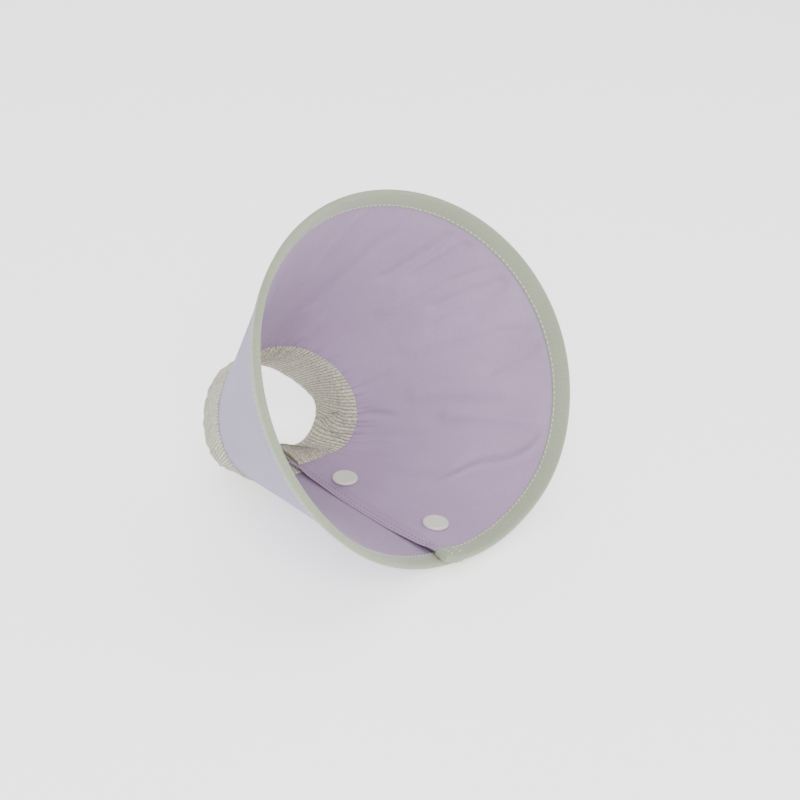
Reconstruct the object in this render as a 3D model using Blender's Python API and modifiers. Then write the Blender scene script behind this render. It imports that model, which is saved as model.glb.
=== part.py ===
"""Soft recovery cone (elizabethan collar) for a cat or a small dog, lying on its side.

The wall is a loft of straight lines from an oval neck line to a wider oval mouth line, whose
lowest straight line lies along the floor. The mouth faces -Y, the neck +Y.
A point of the wall is given by three numbers:
  turn   angle round the cone's axis, 0 at the bottom, growing towards +X, over the top and on
         past a full turn, where the sheet runs underneath its own first end
  run    distance along the wall, 0 at the edge of the knit cuff, growing towards the mouth
  depth  distance inwards from the outer face of the outer fabric
The sheet's first end is a flap that lies on the sheet's last end and is held by two snaps.
"""
import math

import bmesh
import bpy
from mathutils import Matrix, Vector

# How far the planes of the neck and mouth lines lean back from upright
LEAN_BACK = math.radians(35.7)
WALL_LENGTH = 0.1275
# Each line is an oval that stands on its lowest point. bow is how far it leaves its plane, as
# (cosine, sine) of one and two turns; egg is how much wider the +X side and how much deeper
# the lower side is than the other, as shares of the half sizes.
MOUTH = {"foot": (0.0057, -0.1762, 0.0060), "half_width": 0.1143, "half_height": 0.1055,
         "roll": -0.205, "bow": ((-0.0022, -0.0227), (-0.0109, -0.0039)), "egg": (-0.082, -0.028)}
NECK = {"foot": (-0.0044, -0.0507, 0.0017), "half_width": 0.0488, "half_height": 0.0394,
        "roll": -0.054, "bow": ((-0.0043, -0.0050), (-0.0112, -0.0033)), "egg": (-0.163, -0.233)}
# Moves the origin under the middle of the whole collar
SHIFT = Vector((-0.0179, 0.0859, 0.0008))

# The three sheets of the wall and the air between them
FABRIC = 0.0005
STIFFENER = 0.0008
SHEET_GAP = 0.0002
WALL = 2 * FABRIC + STIFFENER + 2 * SHEET_GAP
TUCK = 0.007

# Bias binding round the mouth
BINDING_WIDTH = 0.009
BINDING_TAPE = 0.0007
BINDING_FOLD = 0.0013
END_FOLD_LENGTH = 0.010
END_FOLD_EXTRA = 0.0015

# Rib-knit cuff round the neck, a folded band with an elastic inside
CUFF_LENGTH = 0.027
CUFF_FLARE = 0.010
CUFF_SIDE_FLARE = 0.007
KNIT = 0.0012
ELASTIC_WIDTH = 0.012
ELASTIC = 0.0009
ELASTIC_CLEARANCE = 0.001

# Overlap: turns of the flap's free edge, the hinge line and the under layer's edge
FLAP_EDGE_NECK = 0.038
FLAP_EDGE_MOUTH = 0.040
HINGE_TURN = 0.58
TAIL_TURN = 0.46
RAMP_START = 0.60
RAMP_END = 1.22
LAP_GAP = 0.0034
EDGE_LAP_GAP = 0.0012
EDGE_SETTLE_WIDTH = 0.010
HINGE_GAP = 0.0004
HINGE_DEPTH = WALL + 0.0017

# Snap fasteners: (turn, run) of each centre, and their turned profiles
SNAPS = {"front": (0.273, 0.0951), "rear": (0.254, 0.0281)}
SNAP_GAP = 0.0002
STUD_GAP = 0.0006
CAP_GAP = 0.0009
CAP_RADIUS = 0.0075
PRONG_RADIUS = 0.001
RIVET_RADIUS = 0.0016
PRONG_HOLE = 0.0013
STUD_RADIUS = 0.0046
KNOB_RADIUS = 0.0028
SOCKET_RADIUS = 0.0048
SOCKET_BORE = 0.00305
SNAP_PLATE = 0.0007
KNOB_HEIGHT = 0.0011
RIVET_HEIGHT = 0.0003
SNAP_EASE = 0.0003
TURNED_STEPS = 18
DRILL_DEPTH = 0.03

# Threads
THREAD_RADIUS = 0.0003
THREAD_GAP = 0.0001
EDGE_THREAD_GAP = 0.0003
RIM_STITCH_INSET = 0.0078
EDGE_STITCH_INSETS = (0.003, 0.006)
EDGE_STITCH_START = 0.002
EDGE_STITCH_END_GAP = 0.004

# Grid steps: shares of a span across the turns, closer together on the ramp down to the main
# wall and at the flap's free edge
MAIN_SHARES = [0.11 * index / 15 for index in range(15)] + [0.11 + 0.89 * index / 60 for index in range(61)]
FLAP_SHARES = [0, 0.05, 0.1, 0.16] + [0.28 + 0.09 * index for index in range(9)]
MAIN_ROWS = 5
FLAP_ROWS = 12

FULL_TURN = 2 * math.pi
AXIS = Vector((0, -math.cos(LEAN_BACK), math.sin(LEAN_BACK)))
SIDE = Vector((1, 0, 0))
UPRIGHT = Vector((0, math.sin(LEAN_BACK), math.cos(LEAN_BACK)))

COLOURS = {
    "outer_fabric": (0.44, 0.41, 0.50),
    "lining": (0.46, 0.38, 0.48),
    "stiffener": (0.80, 0.80, 0.78),
    "binding": (0.42, 0.44, 0.36),
    "knit": (0.45, 0.43, 0.37),
    "elastic": (0.75, 0.74, 0.70),
    "thread": (0.62, 0.62, 0.55),
    "edge_thread": (0.50, 0.36, 0.46),
    "snap": (0.60, 0.59, 0.54),
}


# ---- the wall as a formula -------------------------------------------------------------

def smooth(value, low, high):
    share = min(max((value - low) / (high - low), 0.0), 1.0)
    return share * share * (3 - 2 * share)


def wave(turn, order, weights):
    cosine, sine = weights
    return cosine * (math.cos(order * turn) - 1) + sine * math.sin(order * turn)


def oval_point(line, turn):
    """A point of the neck or mouth line; turn 0 is the foot, on the floor side."""
    side_egg, low_egg = line["egg"]
    across = line["half_width"] * math.sin(turn) * (1 + side_egg * math.sin(turn))
    down = line["half_height"] * math.cos(turn) * (1 + low_egg * math.cos(turn))
    height = line["half_height"] * (1 + low_egg) - down
    roll = line["roll"]
    x = across * math.cos(roll) - height * math.sin(roll)
    rise = across * math.sin(roll) + height * math.cos(roll)
    bow = sum(wave(turn, order, weights) for order, weights in enumerate(line["bow"], start=1))
    return SHIFT + Vector(line["foot"]) + SIDE * x + UPRIGHT * rise + AXIS * bow


def straight_point(turn, run):
    neck = oval_point(NECK, turn)
    return neck + (oval_point(MOUTH, turn) - neck) * (run / WALL_LENGTH)


def flare(turn, run):
    """The cuff opens out from the cone's slope, but stays straight along the overlap."""
    rise = smooth(-math.cos(turn), -0.7, 0.3)
    reach = max(-run - TUCK, 0.0) / (CUFF_LENGTH - TUCK)
    return (CUFF_FLARE + CUFF_SIDE_FLARE * math.sin(turn)) * rise * reach


def inward(turn, run):
    step = 0.001
    along = straight_point(turn, run + step) - straight_point(turn, run - step)
    across = straight_point(turn + step, run) - straight_point(turn - step, run)
    return along.cross(across).normalized()


def turn_rate(turn, run):
    step = 0.001
    return (straight_point(turn + step, run) - straight_point(turn - step, run)).length / (2 * step)


def flap_edge(run):
    return FLAP_EDGE_NECK + (FLAP_EDGE_MOUTH - FLAP_EDGE_NECK) * run / WALL_LENGTH


def lift(turn, run):
    """How far the flap end stands above the wall, so that the under layer fits below it."""
    ramp = 1 - smooth(turn, RAMP_START, RAMP_END)
    from_edge = (turn - flap_edge(run)) * turn_rate(turn, run)
    settled = 1 - smooth(from_edge, 0.0, EDGE_SETTLE_WIDTH)
    between_bands = smooth(run, 0.002, 0.045) * (1 - smooth(run, 0.070, 0.114))
    gap = LAP_GAP - (LAP_GAP - EDGE_LAP_GAP) * settled * between_bands
    return (WALL + gap) * ramp


def wall_point(turn, run, depth):
    outward = flare(turn, run)
    return straight_point(turn, run) + inward(turn, run) * (depth + lift(turn, run) - outward)


def main_span(run):
    return HINGE_TURN + HINGE_GAP / 2 / turn_rate(HINGE_TURN, run), FULL_TURN + TAIL_TURN


def flap_span(run):
    return flap_edge(run), HINGE_TURN - HINGE_GAP / 2 / turn_rate(HINGE_TURN, run)


def turn_in(span, share, run):
    first, last = span(run)
    return first + (last - first) * share


# ---- making objects --------------------------------------------------------------------

def clear_scene():
    for item in list(bpy.data.objects):
        bpy.data.objects.remove(item, do_unlink=True)


def new_collection(name):
    collection = bpy.data.collections.new(name)
    bpy.context.scene.collection.children.link(collection)
    return collection


def material(name, roughness):
    surface = bpy.data.materials.new(name)
    surface.use_nodes = True
    shader = surface.node_tree.nodes["Principled BSDF"]
    shader.inputs["Base Color"].default_value = (*COLOURS[name], 1)
    shader.inputs["Roughness"].default_value = roughness
    shader.inputs["Metallic"].default_value = 0.0
    return surface


def place(name, data, surface, parent=None):
    item = bpy.data.objects.new(name, data)
    parts.objects.link(item)
    data.materials.append(surface)
    if parent is not None:
        item.parent = parent
        item.matrix_parent_inverse = parent.matrix_world.inverted()
    return item


def sheet(name, span, columns, rows, inner_depth, thickness, surface, parent=None):
    """One layer of the wall: an open grid on its inner face, thickened outwards."""
    form = bmesh.new()
    lines = []
    for step in range(rows + 1):
        run = -TUCK + (WALL_LENGTH + TUCK) * step / rows
        lines.append([form.verts.new(wall_point(turn_in(span, share, run), run, inner_depth))
                      for share in columns])
    for near, far in zip(lines, lines[1:]):
        for left in range(len(columns) - 1):
            form.faces.new((near[left], far[left], far[left + 1], near[left + 1]))
    mesh = bpy.data.meshes.new(name)
    form.to_mesh(mesh)
    form.free()
    item = place(name, mesh, surface, parent)
    solid = item.modifiers.new("thickness", "SOLIDIFY")
    solid.thickness = thickness
    solid.offset = -1
    solid.use_even_offset = False
    return item


def band(name, span, columns, outline, surface, parent=None):
    """A strip swept along an edge. outline gives its two faces, as equally long lists of
    (run, depth) pairs, and the strip is a loft through them at every turn."""
    form = bmesh.new()
    rings = []
    for share in columns:
        faces = [[form.verts.new(wall_point(turn_in(span, share, run), run, depth))
                  for run, depth in face] for face in outline(span, share)]
        rings.append(faces)
    for near, far in zip(rings, rings[1:]):
        near_loop = near[0] + near[1][::-1]
        far_loop = far[0] + far[1][::-1]
        for index, corner in enumerate(near_loop):
            after = (index + 1) % len(near_loop)
            form.faces.new((corner, near_loop[after], far_loop[after], far_loop[index]))
    for one_face, other_face in (rings[0], rings[-1]):
        for index in range(len(one_face) - 1):
            form.faces.new((one_face[index], one_face[index + 1],
                            other_face[index + 1], other_face[index]))
    bmesh.ops.triangulate(form, faces=form.faces)
    bmesh.ops.recalc_face_normals(form, faces=form.faces)
    mesh = bpy.data.meshes.new(name)
    form.to_mesh(mesh)
    form.free()
    return place(name, mesh, surface, parent)


def thread(name, points, surface, parent=None):
    curve = bpy.data.curves.new(name, "CURVE")
    curve.dimensions = "3D"
    curve.bevel_depth = THREAD_RADIUS
    curve.bevel_resolution = 1
    curve.use_fill_caps = True
    line = curve.splines.new("POLY")
    line.points.add(len(points) - 1)
    for spot, point in zip(line.points, points):
        spot.co = (*point, 1)
    return place(name, curve, surface, parent)


def turned(name, profile, centre, surface, parent=None):
    """A shape turned round the snap's axis; profile holds (radius, height) pairs."""
    mesh = bpy.data.meshes.new(name)
    closed = profile[0][0] > 0
    edges = [(index, index + 1) for index in range(len(profile) - 1)]
    if closed:
        edges.append((len(profile) - 1, 0))
    mesh.from_pydata([(radius, 0, height) for radius, height in profile], edges, [])
    item = place(name, mesh, surface)
    item.matrix_world = centre
    if parent is not None:
        item.parent = parent
        item.matrix_parent_inverse = parent.matrix_world.inverted()
    screw = item.modifiers.new("turn", "SCREW")
    screw.steps = TURNED_STEPS
    screw.render_steps = TURNED_STEPS
    screw.use_merge_vertices = True
    screw.merge_threshold = 0.00001
    return item


def drill(item, centre):
    """The hole that a snap's prong goes through."""
    form = bmesh.new()
    bmesh.ops.create_cone(form, cap_ends=True, segments=12, radius1=PRONG_HOLE,
                          radius2=PRONG_HOLE, depth=DRILL_DEPTH)
    mesh = bpy.data.meshes.new("prong_hole")
    form.to_mesh(mesh)
    form.free()
    cutter = bpy.data.objects.new("prong_hole", mesh)
    cutters.objects.link(cutter)
    cutter.matrix_world = centre
    cutter.hide_render = True
    cutter.display_type = "WIRE"
    cut = item.modifiers.new("prong hole", "BOOLEAN")
    cut.operation = "DIFFERENCE"
    cut.object = cutter


# ---- outlines --------------------------------------------------------------------------

def binding_outline(span, share):
    """Bias tape folded over the mouth edge; its last stretch on the flap is turned back."""
    extra = 0.0
    if span is flap_span:
        first, last = span(WALL_LENGTH)
        from_end = share * (last - first) * turn_rate(first, WALL_LENGTH)
        extra = END_FOLD_EXTRA if from_end < END_FOLD_LENGTH else 0.0
    inner_edge = WALL_LENGTH - BINDING_WIDTH - extra
    slot = WALL_LENGTH + SHEET_GAP
    fold = WALL_LENGTH + BINDING_FOLD
    low = -SHEET_GAP
    high = WALL + SHEET_GAP
    outside = [(inner_edge, low - BINDING_TAPE), (slot, low - BINDING_TAPE), (fold, low),
               (fold, high), (slot, high + BINDING_TAPE), (inner_edge, high + BINDING_TAPE)]
    corner = BINDING_TAPE / 3
    inside = [(inner_edge, low), (slot - corner, low), (slot, low + corner),
              (slot, high - corner), (slot - corner, high), (inner_edge, high)]
    return outside, inside


def cuff_outline(_span, _share):
    low = -SHEET_GAP
    high = WALL + SHEET_GAP
    fold = -CUFF_LENGTH
    slot = fold + KNIT
    corner = KNIT / 4
    bends = [0.0, -TUCK, slot]
    outside = [(run, low - KNIT) for run in bends] + [(fold, low), (fold, high)]
    outside += [(run, high + KNIT) for run in reversed(bends)]
    bends[-1] += corner
    inside = [(run, low) for run in bends] + [(slot, low + corner), (slot, high - corner)]
    inside += [(run, high) for run in reversed(bends)]
    return outside, inside


def elastic_outline(_span, _share):
    first = -CUFF_LENGTH + KNIT + ELASTIC_CLEARANCE
    low = (WALL - ELASTIC) / 2
    runs = [first, first + ELASTIC_WIDTH]
    return [(run, low) for run in runs], [(run, low + ELASTIC) for run in runs]


# ---- snap profiles, heights measured inwards from the under layer's inner face ----------

def stud_profile():
    base = STUD_GAP
    plate = base + SNAP_PLATE
    top = plate + KNOB_HEIGHT
    hollow = RIVET_RADIUS + SNAP_EASE
    return [(hollow, top), (KNOB_RADIUS - SNAP_EASE, top), (KNOB_RADIUS, top - SNAP_EASE),
            (KNOB_RADIUS, plate), (STUD_RADIUS, plate), (STUD_RADIUS, base), (PRONG_HOLE, base),
            (PRONG_HOLE, plate), (hollow, plate)]


def socket_profile():
    top = LAP_GAP - SNAP_GAP
    plate = top - SNAP_PLATE
    mouth = STUD_GAP + SNAP_PLATE + SNAP_GAP
    return [(PRONG_HOLE, top), (SOCKET_RADIUS, top), (SOCKET_RADIUS, mouth + SNAP_EASE),
            (SOCKET_RADIUS - SNAP_EASE, mouth), (SOCKET_BORE, mouth), (SOCKET_BORE, plate),
            (PRONG_HOLE, plate)]


def inner_cap_profile():
    """Domed cap on the lining, with a prong riveted over inside the socket."""
    seat = LAP_GAP + WALL + CAP_GAP
    rivet = LAP_GAP - SNAP_GAP - SNAP_PLATE - SNAP_GAP
    dome = [(0.0, 0.0017), (0.0024, 0.00165), (0.0048, 0.0014), (0.0066, 0.0009), (CAP_RADIUS, 0.0004)]
    crown = [(radius, seat + height) for radius, height in dome]
    tip = rivet - RIVET_HEIGHT
    return crown + [(CAP_RADIUS - SNAP_EASE, seat), (PRONG_RADIUS, seat), (PRONG_RADIUS, rivet),
                    (RIVET_RADIUS, rivet), (RIVET_RADIUS, tip), (0.0, tip)]


def outer_cap_profile():
    """Low cap under the outer fabric, with a prong riveted over inside the stud."""
    seat = -WALL - SNAP_GAP
    rivet = STUD_GAP + SNAP_PLATE + SNAP_GAP
    tip = rivet + RIVET_HEIGHT
    return [(0.0, tip), (RIVET_RADIUS, tip), (RIVET_RADIUS, rivet), (PRONG_RADIUS, rivet),
            (PRONG_RADIUS, seat), (CAP_RADIUS - SNAP_EASE, seat), (CAP_RADIUS, seat - SNAP_EASE),
            (0.0055, seat - 0.0007), (0.0, seat - 0.0008)]


def snap_frame(turn, run):
    """The snap's axis points inwards and starts on the under layer's inner face."""
    start = wall_point(FULL_TURN + turn, run, WALL)
    rotation = inward(turn, run).to_track_quat("Z", "Y").to_matrix().to_4x4()
    return Matrix.Translation(start) @ rotation


# ---- the collar ------------------------------------------------------------------------

def hinge_empty():
    """Parent of the flap: it lies just inside the lining, along the line the flap folds on."""
    near = wall_point(HINGE_TURN, 0.0, HINGE_DEPTH)
    far = wall_point(HINGE_TURN, WALL_LENGTH, HINGE_DEPTH)
    empty = bpy.data.objects.new("flap_hinge", None)
    parts.objects.link(empty)
    empty.empty_display_size = 0.02
    rotation = (far - near).to_track_quat("Z", "Y").to_matrix().to_4x4()
    empty.matrix_world = Matrix.Translation((near + far) / 2) @ rotation
    bpy.context.view_layer.update()
    return empty


def build_sheets(prefix, span, columns, rows, centres, parent):
    layers = [("outer_fabric", FABRIC, FABRIC, cloth),
              ("stiffener", FABRIC + SHEET_GAP + STIFFENER, STIFFENER, stiff),
              ("lining", WALL, FABRIC, lining)]
    for name, inner_depth, thickness, surface in layers:
        item = sheet(prefix + name, span, columns, rows, inner_depth, thickness, surface, parent)
        for centre in centres:
            drill(item, centre)


def build_rim_stitching(prefix, span, columns, parent):
    run = WALL_LENGTH - RIM_STITCH_INSET
    depth = WALL + SHEET_GAP + BINDING_TAPE + THREAD_GAP + THREAD_RADIUS
    points = [wall_point(turn_in(span, share, run), run, depth) for share in columns]
    thread(prefix + "rim_stitching", points, pale_thread, parent)


def build_edge_stitching(parent):
    depth = WALL + EDGE_THREAD_GAP + THREAD_RADIUS
    first_run = EDGE_STITCH_START
    last_run = WALL_LENGTH - BINDING_WIDTH - EDGE_STITCH_END_GAP
    for number, inset in enumerate(EDGE_STITCH_INSETS, start=1):
        points = []
        for step in range(FLAP_ROWS):
            run = first_run + (last_run - first_run) * step / (FLAP_ROWS - 1)
            turn = flap_edge(run) + inset / turn_rate(flap_edge(run), run)
            points.append(wall_point(turn, run, depth))
        thread(f"flap_edge_stitching_{number}", points, pink_thread, parent)


def build_half(prefix, span, columns, rows, centres, parent):
    build_sheets(prefix, span, columns, rows, centres, parent)
    band(prefix + "rim_binding", span, columns, binding_outline, binding, parent)
    band(prefix + "neck_cuff", span, columns, cuff_outline, knit, parent)
    band(prefix + "cuff_elastic", span, columns, elastic_outline, elastic, parent)
    build_rim_stitching(prefix, span, columns, parent)


def build_snaps(parent):
    for name, (turn, run) in SNAPS.items():
        centre = snap_frame(turn, run)
        turned(f"snap_{name}_outer_cap", outer_cap_profile(), centre, snap)
        turned(f"snap_{name}_stud", stud_profile(), centre, snap)
        turned(f"snap_{name}_socket", socket_profile(), centre, snap, parent)
        turned(f"snap_{name}_inner_cap", inner_cap_profile(), centre, snap, parent)


clear_scene()
parts = new_collection("elizabethan_collar")
cutters = new_collection("cutters")
cloth = material("outer_fabric", 0.75)
lining = material("lining", 0.7)
stiff = material("stiffener", 0.5)
binding = material("binding", 0.85)
knit = material("knit", 0.95)
elastic = material("elastic", 0.8)
pale_thread = material("thread", 0.8)
pink_thread = material("edge_thread", 0.8)
snap = material("snap", 0.35)

snap_frames = [snap_frame(turn, run) for turn, run in SNAPS.values()]
hinge = hinge_empty()
build_half("", main_span, MAIN_SHARES, MAIN_ROWS, snap_frames, None)
build_half("flap_", flap_span, FLAP_SHARES, FLAP_ROWS, snap_frames, hinge)
build_edge_stitching(hinge)
build_snaps(hinge)
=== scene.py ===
import math

import bpy
import numpy as np
from mathutils import Matrix, Vector


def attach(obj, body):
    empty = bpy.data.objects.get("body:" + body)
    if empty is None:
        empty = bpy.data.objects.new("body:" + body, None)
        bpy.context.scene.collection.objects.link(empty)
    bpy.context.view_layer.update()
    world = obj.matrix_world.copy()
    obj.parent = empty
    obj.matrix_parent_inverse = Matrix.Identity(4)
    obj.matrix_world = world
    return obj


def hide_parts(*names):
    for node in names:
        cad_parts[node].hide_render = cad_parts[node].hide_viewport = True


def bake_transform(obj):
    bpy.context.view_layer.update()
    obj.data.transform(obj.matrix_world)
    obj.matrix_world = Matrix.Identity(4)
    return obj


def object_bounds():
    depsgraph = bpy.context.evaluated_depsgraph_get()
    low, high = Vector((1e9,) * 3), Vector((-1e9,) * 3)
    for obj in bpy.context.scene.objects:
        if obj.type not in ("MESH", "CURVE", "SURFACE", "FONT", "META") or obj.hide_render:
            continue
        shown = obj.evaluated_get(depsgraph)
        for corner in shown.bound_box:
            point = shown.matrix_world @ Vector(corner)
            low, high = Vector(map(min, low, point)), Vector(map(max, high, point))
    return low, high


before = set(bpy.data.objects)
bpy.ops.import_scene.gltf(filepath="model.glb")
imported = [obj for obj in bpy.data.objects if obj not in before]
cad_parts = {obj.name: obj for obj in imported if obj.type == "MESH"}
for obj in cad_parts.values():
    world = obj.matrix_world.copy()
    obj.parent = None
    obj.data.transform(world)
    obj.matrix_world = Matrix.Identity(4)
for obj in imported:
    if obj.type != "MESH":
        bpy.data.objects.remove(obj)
cad_low, cad_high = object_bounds()

# ---- the wall as a formula -------------------------------------------------------------
# turn: angle round the cone, 0 at the bottom, growing towards +X and over the top.
# run: distance along the wall from the cuff's edge towards the mouth.
# depth: distance inwards from the outer face of the outer fabric.

LEAN_BACK = math.radians(35.7)
WALL_LENGTH = 0.1275
MOUTH = {"foot": (0.0057, -0.1762, 0.0060), "half_width": 0.1143, "half_height": 0.1055,
         "roll": -0.205, "bow": ((-0.0022, -0.0227), (-0.0109, -0.0039)), "egg": (-0.082, -0.028)}
NECK = {"foot": (-0.0044, -0.0507, 0.0017), "half_width": 0.0488, "half_height": 0.0394,
        "roll": -0.054, "bow": ((-0.0043, -0.0050), (-0.0112, -0.0033)), "egg": (-0.163, -0.233)}
SHIFT = np.array((-0.0179, 0.0859, 0.0008))
SIDE = np.array((1.0, 0.0, 0.0))
UPRIGHT = np.array((0.0, math.sin(LEAN_BACK), math.cos(LEAN_BACK)))
AXIS = np.array((0.0, -math.cos(LEAN_BACK), math.sin(LEAN_BACK)))

WALL = 0.0022
FABRIC = 0.0005
TUCK = 0.007
BINDING_WIDTH = 0.009
CUFF_LENGTH = 0.027
CUFF_FLARE = 0.010
CUFF_SIDE_FLARE = 0.007
KNIT = 0.0012
FLAP_EDGE_NECK = 0.038
FLAP_EDGE_MOUTH = 0.040
HINGE_TURN = 0.58
TAIL_TURN = 0.46
RAMP_START = 0.60
RAMP_END = 1.22
LAP_GAP = 0.0034
EDGE_LAP_GAP = 0.0012
SNAPS = {"front": (0.273, 0.0951), "rear": (0.254, 0.0281)}
FULL_TURN = 2 * math.pi
MM = 0.001


def smooth(value, low, high):
    share = np.clip((value - low) / (high - low), 0.0, 1.0)
    return share * share * (3 - 2 * share)


def oval_point(line, turn):
    side_egg, low_egg = line["egg"]
    across = line["half_width"] * np.sin(turn) * (1 + side_egg * np.sin(turn))
    down = line["half_height"] * np.cos(turn) * (1 + low_egg * np.cos(turn))
    height = line["half_height"] * (1 + low_egg) - down
    x = across * math.cos(line["roll"]) - height * math.sin(line["roll"])
    rise = across * math.sin(line["roll"]) + height * math.cos(line["roll"])
    bow = sum(cosine * (np.cos(order * turn) - 1) + sine * np.sin(order * turn)
              for order, (cosine, sine) in enumerate(line["bow"], start=1))
    moved = x[..., None] * SIDE + rise[..., None] * UPRIGHT + bow[..., None] * AXIS
    return SHIFT + np.array(line["foot"]) + moved


def straight_point(turn, run):
    neck = oval_point(NECK, turn)
    return neck + (oval_point(MOUTH, turn) - neck) * (run / WALL_LENGTH)[..., None]


def inward(turn, run):
    step = 0.001
    along = straight_point(turn, run + step) - straight_point(turn, run - step)
    across = straight_point(turn + step, run) - straight_point(turn - step, run)
    normal = np.cross(along, across)
    return normal / np.linalg.norm(normal, axis=-1, keepdims=True)


def turn_rate(turn, run):
    step = 0.001
    moved = straight_point(turn + step, run) - straight_point(turn - step, run)
    return np.linalg.norm(moved, axis=-1) / (2 * step)


def flap_edge(run):
    return FLAP_EDGE_NECK + (FLAP_EDGE_MOUTH - FLAP_EDGE_NECK) * run / WALL_LENGTH


def lift(turn, run):
    """How far the flap end stands above the wall, over the under layer."""
    ramp = 1 - smooth(turn, RAMP_START, RAMP_END)
    from_edge = (turn - flap_edge(run)) * turn_rate(turn, run)
    settled = 1 - smooth(from_edge, 0.0, 0.010)
    between_bands = smooth(run, 0.002, 0.045) * (1 - smooth(run, 0.070, 0.114))
    gap = LAP_GAP - (LAP_GAP - EDGE_LAP_GAP) * settled * between_bands
    return (WALL + gap) * ramp


def flare(turn, run):
    rise = smooth(-np.cos(turn), -0.7, 0.3)
    reach = np.maximum(-run - TUCK, 0.0) / (CUFF_LENGTH - TUCK)
    return (CUFF_FLARE + CUFF_SIDE_FLARE * np.sin(turn)) * rise * reach


def wall_point(turn, run, depth):
    turn, run, depth = np.broadcast_arrays(np.asarray(turn, float), np.asarray(run, float),
                                           np.asarray(depth, float))
    offset = depth + lift(turn, run) - flare(turn, run)
    return straight_point(turn, run) + inward(turn, run) * offset[..., None]


# ---- spans: the cone's fixed part, and the flap's part that bends at the hinge -----------
HINGE_MARGIN = 0.009
CUFF_MARGIN = 0.0035  # added at the cuff's free end, where the cuff is thick and tightly curved


def split_turn(run):
    """Where the fixed part of each strip ends and its flap part starts, past the hinge."""
    margin = HINGE_MARGIN + CUFF_MARGIN * np.clip(-run / CUFF_LENGTH, 0, 1)
    return HINGE_TURN + margin / turn_rate(np.full_like(run, HINGE_TURN), run)


def main_span(run):
    return split_turn(run), np.full_like(run, FULL_TURN + TAIL_TURN)


def flap_span(run):
    return flap_edge(run), split_turn(run)


# ---- relief: puckers, folds and creases of the cloth -------------------------------------

PUCKERS = ((47, 0.4, 0.30), (71, 2.1, 0.24), (103, 4.0, 0.18))  # lobes a turn, phase, mm
PUCKER_REACH_WALL = 0.0065
PUCKER_REACH_CUFF = 0.008
# Soft folds of the lining: (turn in degrees, first and last share of the run, half width and
# height in mm). They run nearly straight from the cuff towards the rim.
SOFT_FOLDS = (
    (152, 0.50, 0.95, 3.6, -0.85), (145, 0.58, 0.93, 2.8, -0.80), (139, 0.35, 0.90, 4.2, 0.55),
    (128, 0.52, 0.92, 3.2, -0.95), (123, 0.45, 0.90, 2.6, -0.60), (114, 0.30, 0.88, 4.6, 0.70),
    (99, 0.62, 0.95, 3.4, -0.75), (90, 0.25, 0.75, 5.0, 0.60), (77, 0.40, 0.94, 4.2, 0.75),
    (149, 0.72, 0.95, 1.9, 0.45), (134, 0.66, 0.94, 1.9, -0.50), (119, 0.70, 0.94, 1.8, 0.45),
    (108, 0.72, 0.95, 1.9, -0.45), (104, 0.60, 0.93, 2.2, 0.40), (94, 0.74, 0.95, 1.8, 0.40),
    (171, 0.25, 0.80, 5.2, -0.60), (190, 0.45, 0.95, 4.4, 0.55), (212, 0.20, 0.70, 5.4, -0.60),
    (238, 0.35, 0.92, 5.0, 0.65), (262, 0.15, 0.65, 4.6, -0.55), (291, 0.30, 0.90, 5.4, 0.60),
    (318, 0.40, 0.92, 3.8, -0.70), (333, 0.22, 0.62, 3.4, 0.55), (160, 0.03, 0.30, 3.4, 0.40),
    (106, 0.02, 0.22, 2.6, -0.45), (83, 0.02, 0.20, 2.4, -0.55), (62, 0.02, 0.24, 2.6, 0.45),
)
FOLD_DEPTH = 1.7
PATH_ROUNDING = 0.006  # the corners of a fold's path are rounded over this distance each way
# Creases: half width and height in mm, then (turn in degrees, share of the run) points
CREASES = (
    (2.9, 1.10, ((41, 0.55), (55, 0.63), (57.5, 0.73), (59.5, 0.80), (64, 0.86), (70, 0.92))),
    (3.6, -0.85, ((47, 0.55), (60, 0.63), (62.5, 0.73), (64.5, 0.80), (69, 0.86), (74, 0.92))),
    (1.8, 0.60, ((22, 0.74), (30, 0.77), (38, 0.80))),
    (2.2, -0.50, ((348, 0.60), (340, 0.75), (336, 0.88))),
)
# Valleys and the puff between them where the knit cuff bunches up: (turn, run in mm) points
CUFF_CREASES = (
    (1.3, -3.4, ((63, -27), (70, -20), (84, -12), (91, -8))),
    (1.7, -2.4, ((58, -2), (62, -9), (65, -17), (68, -27))),
    (3.4, 2.1, ((70, -3), (67, -10), (64, -17), (63, -22))),
    (2.2, -0.9, ((118, -26), (121, -14), (125, -6))),
)
# The flap's end of the cuff stands up in one soft roll: half width, height, then its path
CUFF_ROLL = (9.0, 4.2, ((46, -38), (40, -12), (38, 2)))


def pucker(turn, run):
    """Small gathers where the wall is sewn into the elastic cuff."""
    waves = sum(size * np.sin(lobes * turn + phase + 1.3 * np.sin(5 * turn + lobes))
                for lobes, phase, size in PUCKERS)
    up_the_wall = np.exp(-np.maximum(run, 0) / PUCKER_REACH_WALL)
    into_the_cuff = np.exp(np.minimum(run, 0) / PUCKER_REACH_CUFF)
    reach = np.where(run > 0, up_the_wall, into_the_cuff)
    return waves * reach * MM


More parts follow.
